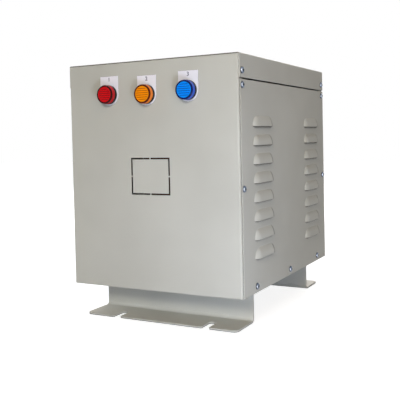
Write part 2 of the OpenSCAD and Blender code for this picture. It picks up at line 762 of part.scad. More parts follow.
module upper_clamp(lead_x) {
    inner = stack_t / 2;
    color(paint) in_box() difference() {
        translate([0, core_y - core_len / 2, 0]) along_y(core_len)
            folded([[inner + upper_clamp_w, core_top_z], [inner, core_top_z], [inner, core_top_z - yoke_h]],
                clamp_t, clamp_t);
        at_clamp_bolts(core_top_z - yoke_h / 2) rotate([0, 90, 0])
            cylinder(d = clamp_bolt_d + 2 * slip, h = inner + 2 * clamp_t);
        for (i = [-1:1]) translate([lead_x, core_y + i * coil_pitch, core_top_z - clamp_t - overrun])
            cylinder(d = lead_hole_d, h = clamp_t + 2 * overrun);
    }
}

// Clamp bolts lie along X: heads on the left clamps, nuts on the right ones
clamp_bolt_head_h = clamp_bolt_d * 2 / 3;
clamp_nut_h = clamp_bolt_d * 4 / 5;
clamp_nut_af = clamp_bolt_d * 13 / 8;
clamp_half = stack_t / 2 + clamp_t;
clamp_bolt_zs = [core_z + yoke_h / 2, core_top_z - yoke_h / 2];

module clamp_bolts() {
    reach = 2 * clamp_half + clamp_nut_h + clamp_bolt_d / 4;
    color(zinc) in_box() for (z = clamp_bolt_zs)
        at_clamp_bolts(z) translate([-clamp_half, 0, 0]) rotate([0, 90, 0]) {
            translate([0, 0, -clamp_bolt_head_h]) hex_nut(clamp_nut_af, clamp_bolt_head_h, 0);
            cylinder(d = clamp_bolt_d - 2 * slip, h = reach);
        }
}

module clamp_nuts() {
    color(zinc) in_box() for (z = clamp_bolt_zs)
        at_clamp_bolts(z) translate([clamp_half, 0, 0]) rotate([0, 90, 0])
            hex_nut(clamp_nut_af, clamp_nut_h, clamp_bolt_d);
}

// Barrier terminal block, drawn for the right side on the upper clamp's shelf
module terminal_block() {
    color(phenolic) in_box() translate([block_x, core_y - block_len / 2, core_top_z]) difference() {
        union() {
            cube([block_w, block_len, block_h]);
            for (i = [0:block_poles])
                translate([0, i * block_pitch, 0]) cube([block_w, barrier_t, barrier_h]);
        }
        for (i = [0:block_poles - 1], side = [-1, 1])
            translate([block_w / 2 + side * terminal_screw_out, (i + 1 / 2) * block_pitch + barrier_t / 2,
                block_h - terminal_screw_len - slip])
                cylinder(d = terminal_screw_d + 2 * slip, h = terminal_screw_len + slip + overrun);
    }
}

terminal_screw_d = block_pitch / 6;
terminal_screw_len = block_h * 2 / 3;
terminal_screw_out = block_w / 4;
terminal_head_d = 2 * terminal_screw_d;
terminal_head_h = terminal_screw_d / 2;

module terminal_screws() {
    color(zinc) in_box() left_and_right() for (y = pole_ys, side = [-1, 1])
        translate([block_x + block_w / 2 + side * terminal_screw_out, y, core_top_z + block_h]) difference() {
            union() {
                cylinder(d = terminal_head_d, h = terminal_head_h);
                translate([0, 0, -terminal_screw_len])
                    cylinder(d = terminal_screw_d, h = terminal_screw_len + terminal_head_h);
            }
            translate([-terminal_head_d, -recess_w / 2, terminal_head_h / 2])
                cube([2 * terminal_head_d, recess_w, terminal_head_h]);
        }
}

// Round lead along a smooth route: a straight start, then a curve to the end
lead_rings = 14;
lead_sides = 8;
function bezier(a, b, c, d, t) =
    pow(1 - t, 3) * a + 3 * pow(1 - t, 2) * t * b + 3 * (1 - t) * t * t * c + pow(t, 3) * d;
function lead_route(start, rise, aim, end) = concat([start],
    [for (k = [0:lead_rings]) bezier(rise, rise + (rise - start) * norm(end - rise) / norm(rise - start) / 2,
        aim, end, k / lead_rings)]);

module lead(route, d) {
    last = len(route) - 1;
    way = [for (i = [0:last]) unit(route[min(i + 1, last)] - route[max(i - 1, 0)])];
    across = [for (i = 0, n = unit(cross(way[0], [way[0][2], way[0][0], way[0][1]])); i <= last;
        i = i + 1, n = unit(n - (n * way[min(i, last)]) * way[min(i, last)])) n];
    points = [for (i = [0:last], k = [0:lead_sides - 1]) let (a = 360 * k / lead_sides)
        route[i] + d / 2 * (cos(a) * across[i] + sin(a) * cross(way[i], across[i]))];
    sides = [for (i = [0:last - 1], k = [0:lead_sides - 1]) let (n = (k + 1) % lead_sides)
        [i * lead_sides + k, (i + 1) * lead_sides + k, (i + 1) * lead_sides + n, i * lead_sides + n]];
    polyhedron(points, concat([[for (k = [0:lead_sides - 1]) k]], sides,
        [[for (k = [lead_sides - 1:-1:0]) last * lead_sides + k]]), convexity = 4);
}

// Each winding's lead rises through the cheek and the clamp's shelf to its pole's inner side
module winding_lead(i, x, dir) {
    y = core_y + (i - 1) * coil_pitch;
    pole_y = core_y + (i - 1) * block_pitch - block_pitch / 2;
    top = core_top_z + lead_d;
    end = [dir * (block_x - slip), pole_y, core_top_z + block_h / 2];
    in_box() lead(lead_route([dir * x, y, winding_z + winding_h], [dir * x, y, top],
        end - [dir * lead_d, 0, 0], end), lead_d);
}

module primary_leads() for (i = [0:2]) color(lead_colours[i]) winding_lead(i, primary_lead_x, -1);
module secondary_leads() for (i = [0:2]) color(lead_colours[i]) winding_lead(i, secondary_lead_x, 1);

// Lamp leads run back from the lamps and down to the input block's outer ends
module lamp_leads() {
    start_y = lamp_barrel_len + lamp_terminal_len;
    for (i = [0:2]) color(lead_colours[i]) {
        start = [lamp_at(i)[0], start_y, lamp_at(i)[1]];
        end = [-block_x - block_w / 2 - terminal_screw_out, pole_ys[i],
            core_top_z + block_h + terminal_head_h + slip];
        in_box() lead(lead_route(start, start + [0, lamp_terminal_len, 0],
            end + [0, 0, lamp_barrel_len], end), lamp_lead_d);
    }
}

// Protective earth stud on the base, beside the clamp and by the cable entries
earth_stud_d = foot_bolt_d * 3 / 4;
earth_stud_x = stack_t / 2 + lower_clamp_w + 2 * earth_stud_d;
earth_nut_af = earth_stud_d * 5 / 3;
earth_nut_h = earth_stud_d * 5 / 6;
earth_stud_len = 3 * earth_stud_d;

module at_earth_stud() translate([earth_stud_x, box_d - 2 * rear_return_w, 0]) children();

module earth_stud() {
    color(zinc) in_box() at_earth_stud() {
        translate([0, 0, -earth_nut_h / 2]) hex_nut(earth_nut_af, earth_nut_h / 2, 0);
        cylinder(d = earth_stud_d, h = earth_stud_len);
        translate([0, 0, base_t]) cylinder(d = earth_nut_af, h = earth_nut_h / 3);
        translate([0, 0, base_t]) hex_nut(earth_nut_af, earth_nut_h * 4 / 3, 0);
    }
}

front_panel();
rear_panel();
left_side_panel();
right_side_panel();
top_cover();
base_plate();
front_foot();
rear_foot();
cover_screws();
left_panel_screws();
right_panel_screws();
panel_nuts();
foot_bolts();
foot_washers();
foot_nuts();
for (i = [0:2]) {
    legend_plate(i);
    lamp_lens(i);
    lamp_body(i);
    lamp_gasket(i);
    lamp_nut(i);
    coil_former(i);
    secondary_winding(i);
    insulation_wrap(i);
    primary_winding(i);
}
grommet(-1);  // input_grommet
grommet(1);  // output_grommet
core_e_stack();
core_i_stack();
mirror([1, 0, 0]) lower_clamp();  // lower_clamp_left
lower_clamp();  // lower_clamp_right
mirror([1, 0, 0]) upper_clamp(primary_lead_x);  // upper_clamp_left
upper_clamp(secondary_lead_x);  // upper_clamp_right
clamp_bolts();
clamp_nuts();
mirror([1, 0, 0]) terminal_block();  // input_terminal_block
terminal_block();  // output_terminal_block
terminal_screws();
primary_leads();
secondary_leads();
lamp_leads();
earth_stud();
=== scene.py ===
"""Looks of the isolation transformer: a louvred sheet-steel box on two bent feet, with three signal
lamps. Every piece is in metres in the part's own frame: +X right, +Y to the back, +Z up."""
import math

import bmesh
import bpy
from mathutils import Matrix, Vector


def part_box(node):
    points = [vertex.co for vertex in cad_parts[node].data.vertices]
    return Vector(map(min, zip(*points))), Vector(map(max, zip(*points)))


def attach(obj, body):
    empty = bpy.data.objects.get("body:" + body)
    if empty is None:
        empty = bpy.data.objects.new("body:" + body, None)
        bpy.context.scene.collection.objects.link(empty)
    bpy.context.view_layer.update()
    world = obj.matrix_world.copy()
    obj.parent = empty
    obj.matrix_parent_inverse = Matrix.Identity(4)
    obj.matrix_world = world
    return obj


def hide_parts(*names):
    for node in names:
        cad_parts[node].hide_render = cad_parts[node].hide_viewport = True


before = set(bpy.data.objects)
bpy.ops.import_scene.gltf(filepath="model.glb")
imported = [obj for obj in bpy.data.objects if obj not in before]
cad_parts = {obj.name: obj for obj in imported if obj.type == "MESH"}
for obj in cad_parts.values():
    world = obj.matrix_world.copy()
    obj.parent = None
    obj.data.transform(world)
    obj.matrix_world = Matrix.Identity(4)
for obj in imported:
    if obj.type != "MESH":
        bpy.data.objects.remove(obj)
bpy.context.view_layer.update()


# Enclosure, base and feet: sheet steel, folded and punched, then sprayed with polyester powder and
# baked. The baked film is satin, light warm grey, and has a faint orange peel.
MM = 0.001


def srgb(hex_code):
    """Linear colour of an sRGB hex value, with full alpha."""
    parts = [int(hex_code[i:i + 2], 16) / 255 for i in (1, 3, 5)]
    return [p / 12.92 if p <= 0.04045 else ((p + 0.055) / 1.055) ** 2.4 for p in parts] + [1.0]


def add(tree, kind, settings=(), links=()):
    """Adds a node. A setting names a property or, in brackets, a socket; a link names a socket."""
    node = tree.nodes.new(kind)
    for name, value in dict(settings).items():
        if isinstance(name, tuple):
            node.inputs[name[0]].default_value = value
        else:
            setattr(node, name, value)
    for name, source in dict(links).items():
        tree.links.new(source, node.inputs[name])
    return node


def new_material(name):
    """An empty material and its node tree."""
    material = bpy.data.materials.new(name)
    material.use_nodes = True
    material.node_tree.nodes.clear()
    return material, material.node_tree


def set_surface(tree, shader):
    """Joins the finished shader to the material's output."""
    add(tree, "ShaderNodeOutputMaterial", links={"Surface": shader.outputs[0]})


def dress(material, *nodes):
    """Gives CAD nodes a material."""
    for name in nodes:
        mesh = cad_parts[name].data
        mesh.materials.clear()
        mesh.materials.append(material)


powder_coat, tree = new_material("satin_powder_coat_on_steel")
place = add(tree, "ShaderNodeTexCoord")
# Spray passes leave the film a little uneven over about 120 mm
spray = add(tree, "ShaderNodeTexNoise", {("Scale",): 1 / (120 * MM), ("Detail",): 2.0},
            {"Vector": place.outputs["Object"]})
film = add(tree, "ShaderNodeValToRGB", links={"Fac": spray.outputs["Fac"]})
film.color_ramp.elements[0].color = srgb("#bebdb4")
film.color_ramp.elements[1].color = srgb("#c5c4bb")
film.color_ramp.elements[0].position, film.color_ramp.elements[1].position = 0.35, 0.65
point = add(tree, "ShaderNodeSeparateXYZ", {}, {"Vector": place.outputs["Object"]})
facing = add(tree, "ShaderNodeSeparateXYZ", {}, {"Vector": place.outputs["Normal"]})
# Painted shade darkens the sheet under the lips of the louvres, where their shadow falls, but not
# what faces up
lip = add(tree, "ShaderNodeAmbientOcclusion",
          {"samples": 8, "only_local": True, ("Distance",): 8 * MM})
lip_shelter = add(tree, "ShaderNodeMapRange",
                  {("From Min",): 0.68, ("From Max",): 0.8, ("To Min",): 1.0, ("To Max",): 0.0},
                  {"Value": lip.outputs["AO"]})
not_up = add(tree, "ShaderNodeMath", {"operation": "LESS_THAN", (1,): 0.1},
             {0: facing.outputs["Z"]})
lip_shade = add(tree, "ShaderNodeMath", {"operation": "MULTIPLY"},
               {0: lip_shelter.outputs["Result"], 1: not_up.outputs[0]})
# Painted shade also fills the last 3 mm where two sheets nearly touch
seam = add(tree, "ShaderNodeAmbientOcclusion", {"samples": 8, ("Distance",): 3 * MM})
seam_shade = add(tree, "ShaderNodeMapRange",
                {("From Min",): 0.45, ("From Max",): 0.74, ("To Min",): 1.0, ("To Max",): 0.0},
                {"Value": seam.outputs["AO"]})
sheltered_shade = add(tree, "ShaderNodeMath", {"operation": "MAXIMUM"},
                     {0: lip_shade.outputs[0], 1: seam_shade.outputs["Result"]})
# The louvres stand out past 150 mm from the middle, and their rear ends, which face away from the
# light, get painted shade too
outward = add(tree, "ShaderNodeMath", {"operation": "ABSOLUTE"}, {0: point.outputs["X"]})
proud = add(tree, "ShaderNodeMath", {"operation": "GREATER_THAN", (1,): 150.4 * MM},
            {0: outward.outputs[0]})
to_rear = add(tree, "ShaderNodeMapRange",
              {("From Min",): 0.06, ("From Max",): 0.24, ("To Min",): 0.0, ("To Max",): 0.6},
              {"Value": facing.outputs["Y"]})
lee_shade = add(tree, "ShaderNodeMath", {"operation": "MULTIPLY"},
               {0: proud.outputs[0], 1: to_rear.outputs["Result"]})
all_shade = add(tree, "ShaderNodeMath", {"operation": "MAXIMUM"},
               {0: sheltered_shade.outputs[0], 1: lee_shade.outputs[0]})
# The lowest 8 mm are left out of the painted shade, because the floor under the feet is no seam
off_floor = add(tree, "ShaderNodeMath", {"operation": "GREATER_THAN", (1,): 8 * MM},
                {0: point.outputs["Z"]})
painted_shade = add(tree, "ShaderNodeMath", {"operation": "MULTIPLY"},
           {0: all_shade.outputs[0], 1: off_floor.outputs[0]})
# The painted shade is a dark brown mixed into the film
shaded = add(tree, "ShaderNodeMix", {"data_type": "RGBA", (7,): srgb("#3e3328")},
             {"Factor": painted_shade.outputs[0], 6: film.outputs["Color"]})
# The walls of the knock-out's slots and 0.25 mm of the face beside them are painted nearly black,
# as painted shade for the dark inside seen through the slots. A slot is 2 mm wide, and its middle
# lies 33 mm to the side of the window's middle or 27 mm above or below it. Half a tab is left on
# each side of an axis.
window_middle = (0, -184 * MM, 226 * MM)
slot_middle = (33 * MM, 0, 27 * MM)
half_dark_band, half_tab, front_depth = 1.25 * MM, 1.1 * MM, 4 * MM
from_middle = add(tree, "ShaderNodeVectorMath", {"operation": "SUBTRACT", (1,): window_middle},
                  {0: place.outputs["Object"]})
quarter = add(tree, "ShaderNodeVectorMath", {"operation": "ABSOLUTE"},
              {0: from_middle.outputs["Vector"]})
spans = add(tree, "ShaderNodeSeparateXYZ", {}, {"Vector": quarter.outputs["Vector"]})
past_slot = add(tree, "ShaderNodeVectorMath", {"operation": "SUBTRACT", (1,): slot_middle},
                {0: quarter.outputs["Vector"]})
pasts = add(tree, "ShaderNodeSeparateXYZ", {}, {"Vector": past_slot.outputs["Vector"]})
ring = add(tree, "ShaderNodeMath", {"operation": "MAXIMUM"},
           {0: pasts.outputs["X"], 1: pasts.outputs["Z"]})
off_ring = add(tree, "ShaderNodeMath", {"operation": "ABSOLUTE"}, {0: ring.outputs[0]})
on_ring = add(tree, "ShaderNodeMath", {"operation": "LESS_THAN", (1,): half_dark_band},
              {0: off_ring.outputs[0]})
off_axis = add(tree, "ShaderNodeMath", {"operation": "MINIMUM"},
               {0: spans.outputs["X"], 1: spans.outputs["Z"]})
off_tab = add(tree, "ShaderNodeMath", {"operation": "GREATER_THAN", (1,): half_tab},
              {0: off_axis.outputs[0]})
in_front = add(tree, "ShaderNodeMath", {"operation": "LESS_THAN", (1,): front_depth},
               {0: spans.outputs["Y"]})
cut_line = add(tree, "ShaderNodeMath", {"operation": "MULTIPLY"},
               {0: on_ring.outputs[0], 1: off_tab.outputs[0]})
slot_shade = add(tree, "ShaderNodeMath", {"operation": "MULTIPLY"},
            {0: in_front.outputs[0], 1: cut_line.outputs[0]})
slot_shaded = add(tree, "ShaderNodeMix", {"data_type": "RGBA", (7,): srgb("#14120f")},
              {"Factor": slot_shade.outputs[0], 6: shaded.outputs[2]})
# The cover's front edge, at the top of the front, is painted darker, as painted shade in the groove
# behind the front panel's top bend
at_top = add(tree, "ShaderNodeMath", {"operation": "GREATER_THAN", (1,): 400.2 * MM},
             {0: point.outputs["Z"]})
to_front = add(tree, "ShaderNodeMath", {"operation": "LESS_THAN", (1,): -0.3},
               {0: facing.outputs["Y"]})
cut_edge = add(tree, "ShaderNodeMath", {"operation": "MULTIPLY"},
               {0: at_top.outputs[0], 1: to_front.outputs[0]})
edge_shade = add(tree, "ShaderNodeMath", {"operation": "MULTIPLY", (1,): 0.75},
           {0: cut_edge.outputs[0]})
edge_shaded = add(tree, "ShaderNodeMix", {"data_type": "RGBA", (7,): srgb("#57544c")},
              {"Factor": edge_shade.outputs[0], 6: slot_shaded.outputs[2]})
# The lowest millimetre of the feet is painted darker where it meets the floor, as a painted contact
# shadow
contact_shade = add(tree, "ShaderNodeMapRange",
           {("From Min",): 0.9 * MM, ("From Max",): 1.1 * MM, ("To Min",): 0.65, ("To Max",): 0.0},
           {"Value": point.outputs["Z"]})
contact_shaded = add(tree, "ShaderNodeMix", {"data_type": "RGBA", (7,): srgb("#3c444e")},
            {"Factor": contact_shade.outputs["Result"], 6: edge_shaded.outputs[2]})
# Orange peel has dimples about 1.5 mm wide and a few hundredths of a millimetre deep
peel = add(tree, "ShaderNodeTexNoise", {("Scale",): 1 / (1.5 * MM), ("Detail",): 1.0},
           {"Vector": place.outputs["Object"]})
# Powder builds up round on each cut edge and bend
edge = add(tree, "ShaderNodeBevel", {"samples": 4, ("Radius",): 0.7 * MM})
skin = add(tree, "ShaderNodeBump", {("Strength",): 0.25, ("Distance",): 0.02 * MM},
           {"Height": peel.outputs["Fac"], "Normal": edge.outputs["Normal"]})
paint = add(tree, "ShaderNodeBsdfPrincipled",
            {("Roughness",): 0.6, ("IOR",): 1.5, ("Specular IOR Level",): 0.25},
            {"Base Color": contact_shaded.outputs[2], "Normal": skin.outputs["Normal"]})
set_surface(tree, paint)
dress(powder_coat, "base_plate", "front_foot", "rear_foot", "front_panel", "rear_panel",
      "left_side_panel", "right_side_panel", "top_cover", "lower_clamp_left", "lower_clamp_right",
      "upper_clamp_left", "upper_clamp_right")


# Core: punched sheets of electrical steel, stacked to 60 mm and dipped in varnish. The edges of the
# sheets show as fine lines, and the varnish gives them a dull shine.
core_steel, tree = new_material("varnished_electrical_steel")
place = add(tree, "ShaderNodeTexCoord")
# A wave texture of scale 1 has its bands 0.314 m apart. The sheets are 0.5 mm thick, and lines
# 1 mm apart are the finest that show.
WAVE_PITCH = 0.314
sheets = add(tree, "ShaderNodeTexWave",
             {"bands_direction": "X", ("Scale",): WAVE_PITCH / (1 * MM), ("Distortion",): 0.4,
              ("Detail",): 1.0},
             {"Vector": place.outputs["Object"]})
tone = add(tree, "ShaderNodeValToRGB", links={"Fac": sheets.outputs["Fac"]})
tone.color_ramp.elements[0].color = srgb("#4a4d52")
tone.color_ramp.elements[1].color = srgb("#6d7075")
edges = add(tree, "ShaderNodeBump", {("Strength",): 0.5, ("Distance",): 0.1 * MM},
            {"Height": sheets.outputs["Fac"]})
steel = add(tree, "ShaderNodeBsdfPrincipled",
            {("Metallic",): 0.7, ("Roughness",): 0.42, ("Coat Weight",): 0.4,
             ("Coat Roughness",): 0.3},
            {"Base Color": tone.outputs["Color"], "Normal": edges.outputs["Normal"]})
set_surface(tree, steel)
dress(core_steel, "core_e_stack", "core_i_stack")


# Windings: enamelled copper wire of about 2 mm, laid side by side round each former. The enamel is
# clear and brown. Each turn shines along its length from its bump, and is also painted lighter
# along its crest and darker between turns, as painted highlight and painted shade.
enamelled_wire, tree = new_material("enamelled_copper_wire")
place = add(tree, "ShaderNodeTexCoord")
turns = add(tree, "ShaderNodeTexWave",
            {"bands_direction": "Z", "wave_profile": "SIN", ("Scale",): WAVE_PITCH / (2 * MM),
             ("Distortion",): 0.2},
            {"Vector": place.outputs["Object"]})
# The ramp paints the crest of each turn lighter and the groove between turns darker
tone = add(tree, "ShaderNodeValToRGB", links={"Fac": turns.outputs["Fac"]})
tone.color_ramp.elements[0].color = srgb("#26130c")
tone.color_ramp.elements[1].color = srgb("#5e3720")
rounds = add(tree, "ShaderNodeBump", {("Strength",): 0.9, ("Distance",): 0.8 * MM},
             {"Height": turns.outputs["Fac"]})
wire = add(tree, "ShaderNodeBsdfPrincipled",
           {("Metallic",): 0.85, ("Roughness",): 0.3, ("Coat Weight",): 0.6,
            ("Coat Roughness",): 0.12},
           {"Base Color": tone.outputs["Color"], "Normal": rounds.outputs["Normal"]})
set_surface(tree, wire)
dress(enamelled_wire,
      *[f"{side}_winding_{i}" for side in ("primary", "secondary") for i in (1, 2, 3)])


# Formers and wraps: pressboard, a dense card pressed from wood fibre, cut and glued. It is matt and
# buff, with short darker fibres.
pressboard, tree = new_material("pressed_fibre_board")
place = add(tree, "ShaderNodeTexCoord")
along = add(tree, "ShaderNodeMapping", {("Scale",): (1.0, 1.0, 0.25)},
            {"Vector": place.outputs["Object"]})
fibres = add(tree, "ShaderNodeTexNoise",
             {("Scale",): 1 / (1.2 * MM), ("Detail",): 4.0, ("Roughness",): 0.7},
             {"Vector": along.outputs["Vector"]})
tone = add(tree, "ShaderNodeValToRGB", links={"Fac": fibres.outputs["Fac"]})
tone.color_ramp.elements[0].color = srgb("#b59a70")
tone.color_ramp.elements[1].color = srgb("#d9c297")
nap = add(tree, "ShaderNodeBump", {("Strength",): 0.4, ("Distance",): 0.05 * MM},
          {"Height": fibres.outputs["Fac"]})
board = add(tree, "ShaderNodeBsdfPrincipled", {("Roughness",): 0.85, ("IOR",): 1.45},
            {"Base Color": tone.outputs["Color"], "Normal": nap.outputs["Normal"]})
set_surface(tree, board)
dress(pressboard,
      *[f"{name}_{i}" for name in ("coil_former", "insulation_wrap") for i in (1, 2, 3)])


# Terminal blocks: phenolic resin, pressed hot in a mould. It is dark brown and nearly matt, with a
# fine mottle of its filler.
phenolic, tree = new_material("moulded_phenolic_resin")
place = add(tree, "ShaderNodeTexCoord")
filler = add(tree, "ShaderNodeTexNoise", {("Scale",): 1 / (0.8 * MM), ("Detail",): 3.0},
             {"Vector": place.outputs["Object"]})
tone = add(tree, "ShaderNodeValToRGB", links={"Fac": filler.outputs["Fac"]})
tone.color_ramp.elements[0].color = srgb("#1e1714")
tone.color_ramp.elements[1].color = srgb("#32261f")
grain = add(tree, "ShaderNodeBump", {("Strength",): 0.2, ("Distance",): 0.02 * MM},
            {"Height": filler.outputs["Fac"]})
resin = add(tree, "ShaderNodeBsdfPrincipled", {("Roughness",): 0.5, ("IOR",): 1.55},
            {"Base Color": tone.outputs["Color"], "Normal": grain.outputs["Normal"]})
set_surface(tree, resin)
dress(phenolic, "input_terminal_block", "output_terminal_block")


# Leads: stranded copper in a drawn PVC sleeve, one colour for each circuit. The sleeve is smooth
# and has a soft gloss, and the strands under it show as a faint mottle.
for lead, light, dark in (("primary_leads", "#8e2320", "#7a1c1a"),
                          ("secondary_leads", "#28468c", "#203a78"),
                          ("lamp_leads", "#cfcabb", "#bdb7a6")):
    sleeve, tree = new_material("pvc_sleeve_of_" + lead)
    place = add(tree, "ShaderNodeTexCoord")
    strands = add(tree, "ShaderNodeTexNoise", {("Scale",): 1 / (2.5 * MM), ("Detail",): 1.0},
                  {"Vector": place.outputs["Object"]})
    tone = add(tree, "ShaderNodeValToRGB", links={"Fac": strands.outputs["Fac"]})
    tone.color_ramp.elements[0].color = srgb(dark)
    tone.color_ramp.elements[1].color = srgb(light)
    pvc = add(tree, "ShaderNodeBsdfPrincipled", {("Roughness",): 0.35, ("IOR",): 1.54},
              {"Base Color": tone.outputs["Color"]})
    set_surface(tree, pvc)
    dress(sleeve, lead)


# Screws, nuts, bolts and washers: cold-headed steel with bright zinc plate and a blue passivation.
# The flat tops are painted dark blue-grey, for the film and a painted reflection of dark
# surroundings, and the rounded flanks are painted near white, a painted highlight.
zinc_plate, tree = new_material("blue_passivated_zinc_plate")
place = add(tree, "ShaderNodeTexCoord")
crystals = add(tree, "ShaderNodeTexNoise", {("Scale",): 1 / (0.9 * MM), ("Detail",): 2.0},
               {"Vector": place.outputs["Object"]})
# The dark blue-grey is the passivation film and also a painted reflection of dark surroundings
blue_film_and_dark_reflection = add(tree, "ShaderNodeValToRGB", links={"Fac": crystals.outputs["Fac"]})
blue_film_and_dark_reflection.color_ramp.elements[0].color = srgb("#4c5769")
blue_film_and_dark_reflection.color_ramp.elements[1].color = srgb("#667286")
# Every flat top lies square to an axis, so the largest part of its normal is nearly one
unsigned = add(tree, "ShaderNodeVectorMath", {"operation": "ABSOLUTE"},
               {0: place.outputs["Normal"]})
shares = add(tree, "ShaderNodeSeparateXYZ", {}, {"Vector": unsigned.outputs["Vector"]})
level_share = add(tree, "ShaderNodeMath", {"operation": "MAXIMUM"},
                  {0: shares.outputs["X"], 1: shares.outputs["Y"]})
largest_share = add(tree, "ShaderNodeMath", {"operation": "MAXIMUM"},
                    {0: level_share.outputs[0], 1: shares.outputs["Z"]})
flank_highlight = add(tree, "ShaderNodeMapRange",
            {("From Min",): 0.8, ("From Max",): 0.96, ("To Min",): 1.0, ("To Max",): 0.0},
            {"Value": largest_share.outputs[0]})
# The painted highlight is kept off a flank where it faces up or down, and the dark film stays there
highlight_band = add(tree, "ShaderNodeMapRange",
               {("From Min",): 0.12, ("From Max",): 0.45, ("To Min",): 1.0, ("To Max",): 0.03},
               {"Value": shares.outputs["Z"]})
painted_highlight = add(tree, "ShaderNodeMath", {"operation": "MULTIPLY"},
             {0: flank_highlight.outputs["Result"], 1: highlight_band.outputs["Result"]})
# The painted highlight is a near white mixed onto the flanks
highlighted = add(tree, "ShaderNodeMix", {"data_type": "RGBA", (7,): srgb("#e3e8f0")},
             {"Factor": painted_highlight.outputs[0], 6: blue_film_and_dark_reflection.outputs["Color"]})
# Painted shade darkens the last 4 mm of the corner where a head meets its panel
corner = add(tree, "ShaderNodeAmbientOcclusion", {"samples": 6, ("Distance",): 4 * MM})
head_corner_shade = add(tree, "ShaderNodeMapRange",
           {("From Min",): 0.5, ("From Max",): 0.9, ("To Min",): 0.9, ("To Max",): 0.0},
           {"Value": corner.outputs["AO"]})
tone = add(tree, "ShaderNodeMix", {"data_type": "RGBA", (7,): srgb("#20242e")},
           {"Factor": head_corner_shade.outputs["Result"], 6: highlighted.outputs[2]})
rough = add(tree, "ShaderNodeMapRange", {("To Min",): 0.2, ("To Max",): 0.3},
            {"Value": crystals.outputs["Fac"]})
zinc = add(tree, "ShaderNodeBsdfPrincipled", {("Metallic",): 1.0},
           {"Base Color": tone.outputs[2], "Roughness": rough.outputs["Result"]})
set_surface(tree, zinc)
dress(zinc_plate, "cover_screws", "left_panel_screws", "right_panel_screws", "panel_nuts",
      "foot_bolts", "foot_washers", "foot_nuts", "clamp_bolts", "clamp_nuts", "terminal_screws",
      "earth_stud")


# Grommets and lamp gaskets: moulded black rubber, pushed into the cable holes or clamped by the
# lamp nuts. It is matt, with the faint bloom of sulphur that new rubber has.
rubber, tree = new_material("moulded_black_rubber")
place = add(tree, "ShaderNodeTexCoord")
bloom = add(tree, "ShaderNodeTexNoise", {("Scale",): 1 / (6 * MM), ("Detail",): 3.0},
            {"Vector": place.outputs["Object"]})
tone = add(tree, "ShaderNodeValToRGB", links={"Fac": bloom.outputs["Fac"]})
tone.color_ramp.elements[0].color = srgb("#161616")
tone.color_ramp.elements[1].color = srgb("#262625")
skin = add(tree, "ShaderNodeBump", {("Strength",): 0.15, ("Distance",): 0.05 * MM},
           {"Height": bloom.outputs["Fac"]})
elastic = add(tree, "ShaderNodeBsdfPrincipled", {("Roughness",): 0.7, ("IOR",): 1.52},
              {"Base Color": tone.outputs["Color"], "Normal": skin.outputs["Normal"]})
set_surface(tree, elastic)
dress(rubber, "input_grommet", "output_grommet", *[f"lamp_gasket_{i}" for i in (1, 2, 3)])


# Lamp bodies and nuts: black polyamide, moulded with a fine spark-eroded grain. The bezel shows as
# a black ring behind the lens.
polyamide, tree = new_material("moulded_black_polyamide")
place = add(tree, "ShaderNodeTexCoord")
spark = add(tree, "ShaderNodeTexNoise", {("Scale",): 1 / (0.5 * MM), ("Detail",): 2.0},
            {"Vector": place.outputs["Object"]})
tone = add(tree, "ShaderNodeValToRGB", links={"Fac": spark.outputs["Fac"]})
tone.color_ramp.elements[0].color = srgb("#0e0e10")
tone.color_ramp.elements[1].color = srgb("#18181b")
grain = add(tree, "ShaderNodeBump", {("Strength",): 0.3, ("Distance",): 0.02 * MM},
            {"Height": spark.outputs["Fac"]})
nylon = add(tree, "ShaderNodeBsdfPrincipled",
            {("Roughness",): 0.45, ("IOR",): 1.53, ("Specular IOR Level",): 0.15},
            {"Base Color": tone.outputs["Color"], "Normal": grain.outputs["Normal"]})
set_surface(tree, nylon)
dress(polyamide, *[f"lamp_{part}_{i}" for part in ("body", "nut") for i in (1, 2, 3)])


# Legend plates: white plastic laminate, cut out and clamped under each lamp. Each has a plain
# number, engraved through to the dark core; here it stands 0.05 mm proud, as thin dark inlay.
laminate, tree = new_material("white_engraving_laminate")
place = add(tree, "ShaderNodeTexCoord")
cloud = add(tree, "ShaderNodeTexNoise", {("Scale",): 1 / (15 * MM), ("Detail",): 2.0},
            {"Vector": place.outputs["Object"]})
tone = add(tree, "ShaderNodeValToRGB", links={"Fac": cloud.outputs["Fac"]})
tone.color_ramp.elements[0].color = srgb("#eae8f0")
tone.color_ramp.elements[1].color = srgb("#f2f1f6")
sheet = add(tree, "ShaderNodeBsdfPrincipled", {("Roughness",): 0.4, ("IOR",): 1.5},
            {"Base Color": tone.outputs["Color"]})
set_surface(tree, sheet)
dress(laminate, *[f"legend_plate_{i}" for i in (1, 2, 3)])

inlay, tree = new_material("dark_laminate_core")
place = add(tree, "ShaderNodeTexCoord")
cut = add(tree, "ShaderNodeTexNoise", {("Scale",): 1 / (0.6 * MM)},
          {"Vector": place.outputs["Object"]})
tone = add(tree, "ShaderNodeValToRGB", links={"Fac": cut.outputs["Fac"]})
tone.color_ramp.elements[0].color = srgb("#33304a")
tone.color_ramp.elements[1].color = srgb("#45425c")
groove = add(tree, "ShaderNodeBsdfPrincipled", {("Roughness",): 0.6},
             {"Base Color": tone.outputs["Color"]})
set_surface(tree, groove)

